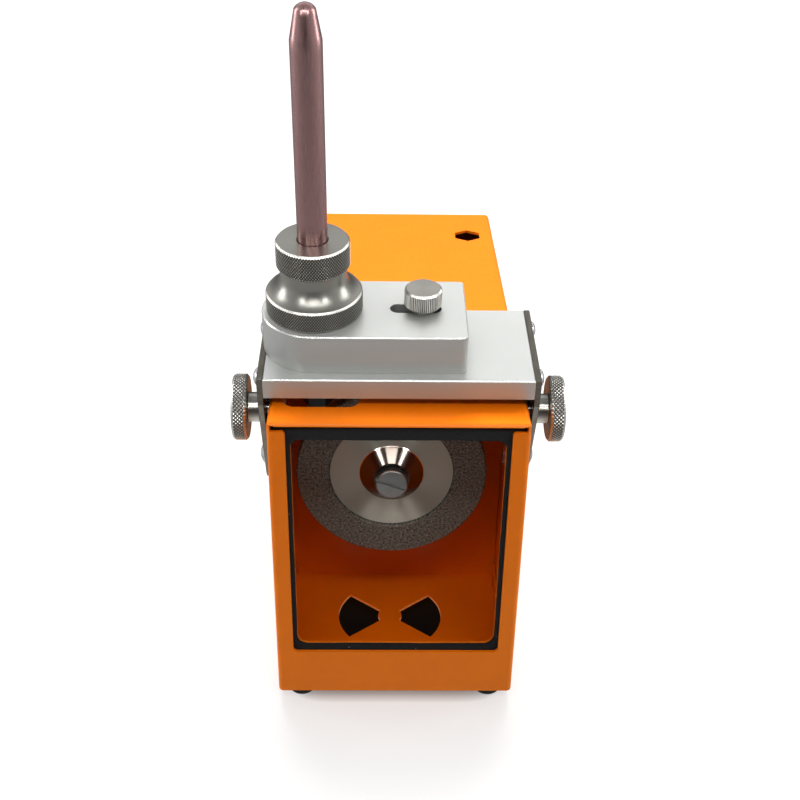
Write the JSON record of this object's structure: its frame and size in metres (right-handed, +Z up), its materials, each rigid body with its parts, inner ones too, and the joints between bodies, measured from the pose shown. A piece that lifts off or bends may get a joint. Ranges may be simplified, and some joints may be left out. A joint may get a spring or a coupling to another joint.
{
  "type": "tungsten electrode sharpener",
  "caption": "Bench electrode sharpener: folded sheet case with a motor-driven diamond face wheel, tilting table, sliding carriage and a hand-turned chuck that lifts out.",
  "frame": {"origin": "on the ground, under the middle of the whole tool's width and depth", "axes": "+Z up, the open grinding chamber faces -Y, +X to the right when facing the chamber"},
  "size_m": [0.1424, 0.243, 0.3177],
  "materials": {
    "orange_paint": "powder-coated sheet, fine orange peel, satin gloss",
    "foam_black": "closed-cell sealing foam, matt, dusted with grinding specks",
    "foot_rubber": "moulded black rubber, matt",
    "bright_screw": "zinc-plated fasteners, bright",
    "motor_casting": "die-cast aluminium, as cast",
    "motor_iron": "laminated electrical steel, dark",
    "ground_steel": "ground steel, fine circumferential marks",
    "copper_winding": "varnished copper wire, bound",
    "pale_plastic": "off-white moulded plastic",
    "black_plastic": "black moulded plastic, fine spark texture",
    "red_rocker": "red moulded plastic, glossy",
    "fuse_glass": "clear glass tube with plated end caps",
    "polished_hub": "turned and polished steel, concentric marks",
    "diamond_grit": "sintered diamond layer, dark grey and gritty",
    "black_oxide": "black-oxide steel, satin",
    "satin_aluminium": "bead-blasted clear-anodised aluminium with bright broken edges",
    "bracket_steel": "plain steel plate, cold rolled, dark sheen",
    "knurled_steel": "knurled and turned stainless steel",
    "bearing_bronze": "sintered bronze, oiled",
    "rose_anodised": "rose anodised aluminium, satin"
  },
  "bodies": {
    "case": {"case_shell": "orange_paint", "base_pan": "orange_paint", "rear_panel": "orange_paint", "chamber_wall": "orange_paint", "window_frame": "orange_paint", "window_gasket": "foam_black", "rubber_feet": "foot_rubber", "foot_screws": "bright_screw", "pan_screws": "bright_screw", "panel_screws": "bright_screw", "clinch_nuts": "bright_screw", "front_bell": "motor_casting", "front_bearing": "ground_steel", "stator_core": "motor_iron", "field_windings": "copper_winding", "rear_bell": "motor_casting", "rear_bearing": "ground_steel", "tie_bolts": "bright_screw", "motor_screws": "bright_screw", "run_capacitor": "pale_plastic", "capacitor_clip": "bright_screw", "wiring": "black_plastic", "mains_inlet": "black_plastic", "inlet_pins": "bright_screw", "inlet_screws": "bright_screw", "pivot_screws": "bright_screw", "pivot_spacers": "pale_plastic"},
    "wheel": {"motor_shaft": "ground_steel", "rotor_core": "motor_iron", "cooling_fan": "black_plastic", "wheel_flange": "motor_casting", "wheel_core": "polished_hub", "diamond_ring": "diamond_grit", "wheel_washer": "bright_screw", "wheel_screw": "black_oxide"},
    "table": {"table_plate": "satin_aluminium", "left_bracket": "bracket_steel", "right_bracket": "bracket_steel", "bracket_screws": "bright_screw"},
    "left_knob": {"left_knob": "knurled_steel", "left_stud": "bright_screw"},
    "right_knob": {"right_knob": "knurled_steel", "right_stud": "bright_screw"},
    "carriage": {"slide_block": "satin_aluminium", "spindle_bush": "bearing_bronze"},
    "lock_screw": {"lock_screw": "knurled_steel"},
    "spindle": {"spindle_ring": "knurled_steel", "spindle_sleeve": "ground_steel", "retaining_ring": "ground_steel"},
    "chuck": {"chuck_body": "ground_steel", "collet": "bearing_bronze"},
    "chuck_cap": {"chuck_head": "knurled_steel", "tail_tube": "rose_anodised"},
    "rocker": {"power_rocker": "red_rocker"},
    "fuse_drawer": {"fuse_drawer": "black_plastic", "glass_fuse": "fuse_glass"}
  },
  "joints": [
    {"name": "wheel_spin", "type": "hinge", "parent": "case", "child": "wheel", "pos_m": [-0.0023, 0, 0.096], "axis": [0, 1, 0], "continuous": true},
    {"name": "table_tilt", "type": "hinge", "parent": "case", "child": "table", "pos_m": [0, -0.0775, 0.113], "axis": [1, 0, 0], "range_deg": [-3, 6]},
    {"name": "left_knob_turn", "type": "hinge", "parent": "case", "child": "left_knob", "pos_m": [-0.068, -0.09343, 0.1464], "axis": [-1, 0, 0], "range_deg": [0, 360]},
    {"name": "right_knob_turn", "type": "hinge", "parent": "case", "child": "right_knob", "pos_m": [0.068, -0.09343, 0.1464], "axis": [1, 0, 0], "range_deg": [0, 360]},
    {"name": "block_slide", "type": "slide", "parent": "table", "child": "carriage", "axis": [1, 0, 0], "range_m": [-0.0045, 0.0105]},
    {"name": "lock_screw_turn", "type": "hinge", "parent": "table", "child": "lock_screw", "pos_m": [0.01, -0.08104, 0.17138], "axis": [0, -0.1219, 0.9925], "range_deg": [0, 360]},
    {"name": "spindle_turn", "type": "hinge", "parent": "carriage", "child": "spindle", "pos_m": [-0.0359, -0.08104, 0.17138], "axis": [0, -0.1219, 0.9925], "continuous": true},
    {"name": "chuck_lift", "type": "slide", "parent": "spindle", "child": "chuck", "axis": [0, -0.1219, 0.9925], "range_m": [0, 0.06]},
    {"name": "cap_turn", "type": "hinge", "parent": "chuck", "child": "chuck_cap", "pos_m": [-0.0359, -0.08104, 0.17138], "axis": [0, -0.1219, 0.9925], "range_deg": [0, 360]},
    {"name": "rocker_press", "type": "hinge", "parent": "case", "child": "rocker", "pos_m": [0.02, 0.114, 0.0795], "axis": [1, 0, 0], "range_deg": [-16, 0]},
    {"name": "fuse_drawer_slide", "type": "slide", "parent": "case", "child": "fuse_drawer", "axis": [0, 1, 0], "range_m": [0, 0.022]}
  ]
}
